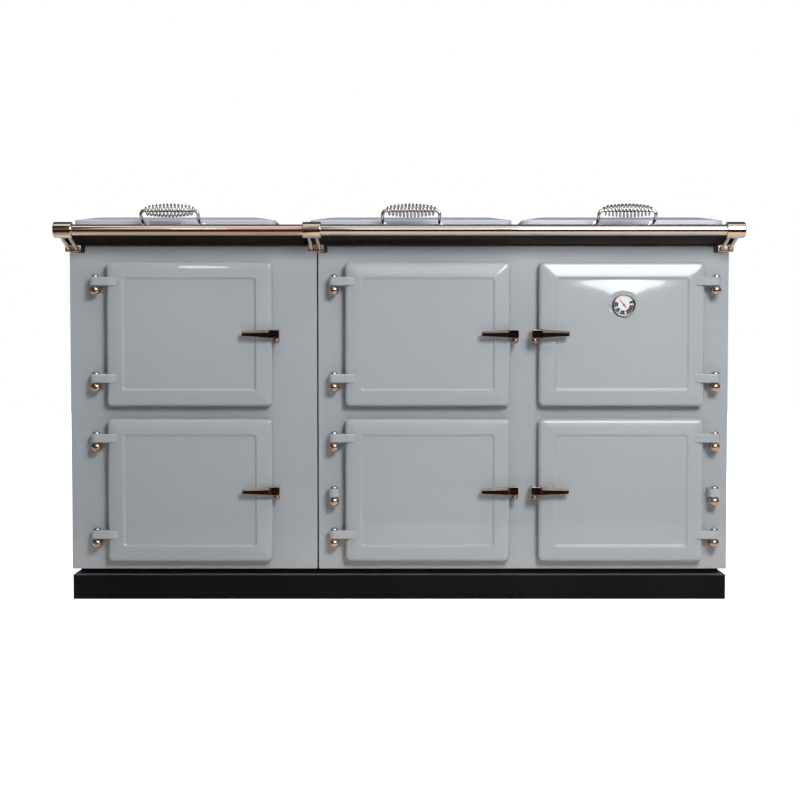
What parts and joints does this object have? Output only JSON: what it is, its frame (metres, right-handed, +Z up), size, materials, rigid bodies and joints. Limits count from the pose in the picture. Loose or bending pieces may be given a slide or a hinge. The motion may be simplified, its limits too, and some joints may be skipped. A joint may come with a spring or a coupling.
{
  "type": "cast iron range cooker",
  "caption": "Wide cast iron range cooker with hinged oven doors, ball-pin hinges, lever latches, lids with coil-grip handles and a front towel rail.",
  "frame": {"origin": "middle of the footprint at floor level", "axes": "+X to the right as seen from the front, +Y to the back, +Z up"},
  "size_m": [1.645, 0.699, 0.966],
  "materials": {
    "grey_enamel": "glossy vitreous enamel on cast iron",
    "black_enamel": "black vitreous enamel",
    "polished_fittings": "polished nickel plate with a warm tint",
    "polished_rail": "polished stainless tube",
    "chrome": "bright chrome wire",
    "machined_iron": "ground and oiled cast iron",
    "oven_enamel": "matt oven enamel",
    "galvanised_sheet": "galvanised steel sheet",
    "dial_and_bezel": "white dial in a chrome bezel",
    "needle_red": "red lacquer"
  },
  "bodies": {
    "root": {"plinth": "black_enamel", "left_casing": "grey_enamel", "left_back_panel": "galvanised_sheet", "left_front_plate": "grey_enamel", "left_hob_top": "black_enamel", "left_rail": "polished_rail", "right_casing": "grey_enamel", "right_back_panel": "galvanised_sheet", "right_front_plate": "grey_enamel", "right_hob_top": "black_enamel", "right_rail": "polished_rail", "left_hotplate": "machined_iron", "left_rail_bracket": "polished_fittings", "middle_hotplate": "machined_iron", "middle_rail_bracket": "polished_fittings", "right_hotplate": "machined_iron", "right_rail_bracket": "polished_fittings", "middle_spare_hinge_pin": "polished_fittings", "right_spare_hinge_pin": "polished_fittings", "left_upper_oven_liner": "oven_enamel", "left_upper_hinge_pin_top": "polished_fittings", "left_upper_hinge_pin_bottom": "polished_fittings", "left_lower_oven_liner": "oven_enamel", "left_lower_hinge_pin_top": "polished_fittings", "left_lower_hinge_pin_bottom": "polished_fittings", "middle_upper_oven_liner": "oven_enamel", "middle_upper_hinge_pin_top": "polished_fittings", "middle_upper_hinge_pin_bottom": "polished_fittings", "middle_lower_oven_liner": "oven_enamel", "middle_lower_hinge_pin_top": "polished_fittings", "middle_lower_hinge_pin_bottom": "polished_fittings", "right_upper_oven_liner": "oven_enamel", "right_upper_hinge_pin_top": "polished_fittings", "right_upper_hinge_pin_bottom": "polished_fittings", "right_lower_oven_liner": "oven_enamel", "right_lower_hinge_pin_top": "polished_fittings", "right_lower_hinge_pin_bottom": "polished_fittings"},
    "left_upper_door": {"left_upper_door": "grey_enamel"},
    "left_upper_latch": {"left_upper_latch": "polished_fittings"},
    "left_lower_door": {"left_lower_door": "grey_enamel"},
    "left_lower_latch": {"left_lower_latch": "polished_fittings"},
    "middle_upper_door": {"middle_upper_door": "grey_enamel"},
    "middle_upper_latch": {"middle_upper_latch": "polished_fittings"},
    "middle_lower_door": {"middle_lower_door": "grey_enamel"},
    "middle_lower_latch": {"middle_lower_latch": "polished_fittings"},
    "right_upper_door": {"right_upper_door": "grey_enamel", "thermometer_case": "dial_and_bezel"},
    "right_upper_latch": {"right_upper_latch": "polished_fittings"},
    "right_lower_door": {"right_lower_door": "grey_enamel"},
    "right_lower_latch": {"right_lower_latch": "polished_fittings"},
    "left_lid": {"left_lid": "grey_enamel", "left_lid_handle": "chrome", "left_handle_coil": "chrome"},
    "middle_lid": {"middle_lid": "grey_enamel", "middle_lid_handle": "chrome", "middle_handle_coil": "chrome"},
    "right_lid": {"right_lid": "grey_enamel", "right_lid_handle": "chrome", "right_handle_coil": "chrome"},
    "thermometer_needle": {"thermometer_needle": "needle_red"}
  },
  "joints": [
    {"name": "left_upper_door_hinge", "type": "hinge", "parent": "root", "child": "left_upper_door", "pos_m": [-0.738, -0.2765, 0.65275], "axis": [0, 0, -1], "range_deg": [0, 110]},
    {"name": "left_upper_latch_pivot", "type": "hinge", "parent": "left_upper_door", "child": "left_upper_latch", "pos_m": [-0.298, -0.2865, 0.65275], "axis": [0, 0, 1], "range_deg": [0, 35]},
    {"name": "left_lower_door_hinge", "type": "hinge", "parent": "root", "child": "left_lower_door", "pos_m": [-0.738, -0.2765, 0.27175], "axis": [0, 0, -1], "range_deg": [0, 110]},
    {"name": "left_lower_latch_pivot", "type": "hinge", "parent": "left_lower_door", "child": "left_lower_latch", "pos_m": [-0.298, -0.2865, 0.27175], "axis": [0, 0, 1], "range_deg": [0, 35]},
    {"name": "middle_upper_door_hinge", "type": "hinge", "parent": "root", "child": "middle_upper_door", "pos_m": [-0.159, -0.2765, 0.65275], "axis": [0, 0, -1], "range_deg": [0, 110]},
    {"name": "middle_upper_latch_pivot", "type": "hinge", "parent": "middle_upper_door", "child": "middle_upper_latch", "pos_m": [0.281, -0.2865, 0.65275], "axis": [0, 0, 1], "range_deg": [0, 35]},
    {"name": "middle_lower_door_hinge", "type": "hinge", "parent": "root", "child": "middle_lower_door", "pos_m": [-0.159, -0.2765, 0.27175], "axis": [0, 0, -1], "range_deg": [0, 110]},
    {"name": "middle_lower_latch_pivot", "type": "hinge", "parent": "middle_lower_door", "child": "middle_lower_latch", "pos_m": [0.281, -0.2865, 0.27175], "axis": [0, 0, 1], "range_deg": [0, 35]},
    {"name": "right_upper_door_hinge", "type": "hinge", "parent": "root", "child": "right_upper_door", "pos_m": [0.7685, -0.2765, 0.65275], "axis": [0, 0, 1], "range_deg": [0, 110]},
    {"name": "right_upper_latch_pivot", "type": "hinge", "parent": "right_upper_door", "child": "right_upper_latch", "pos_m": [0.3285, -0.2865, 0.65275], "axis": [0, 0, -1], "range_deg": [0, 35]},
    {"name": "right_lower_door_hinge", "type": "hinge", "parent": "root", "child": "right_lower_door", "pos_m": [0.7685, -0.2765, 0.27175], "axis": [0, 0, 1], "range_deg": [0, 110]},
    {"name": "right_lower_latch_pivot", "type": "hinge", "parent": "right_lower_door", "child": "right_lower_latch", "pos_m": [0.3285, -0.2865, 0.27175], "axis": [0, 0, -1], "range_deg": [0, 35]},
    {"name": "left_lid_hinge", "type": "hinge", "parent": "root", "child": "left_lid", "pos_m": [-0.5525, 0.2615, 0.914], "axis": [-1, 0, 0], "range_deg": [0, 85]},
    {"name": "middle_lid_hinge", "type": "hinge", "parent": "root", "child": "middle_lid", "pos_m": [0.0285, 0.2615, 0.914], "axis": [-1, 0, 0], "range_deg": [0, 85]},
    {"name": "right_lid_hinge", "type": "hinge", "parent": "root", "child": "right_lid", "pos_m": [0.5485, 0.2615, 0.914], "axis": [-1, 0, 0], "range_deg": [0, 85]},
    {"name": "thermometer_needle_pivot", "type": "hinge", "parent": "right_upper_door", "child": "thermometer_needle", "pos_m": [0.5435, -0.2925, 0.72325], "axis": [0, 1, 0], "range_deg": [-97, 173]}
  ]
}
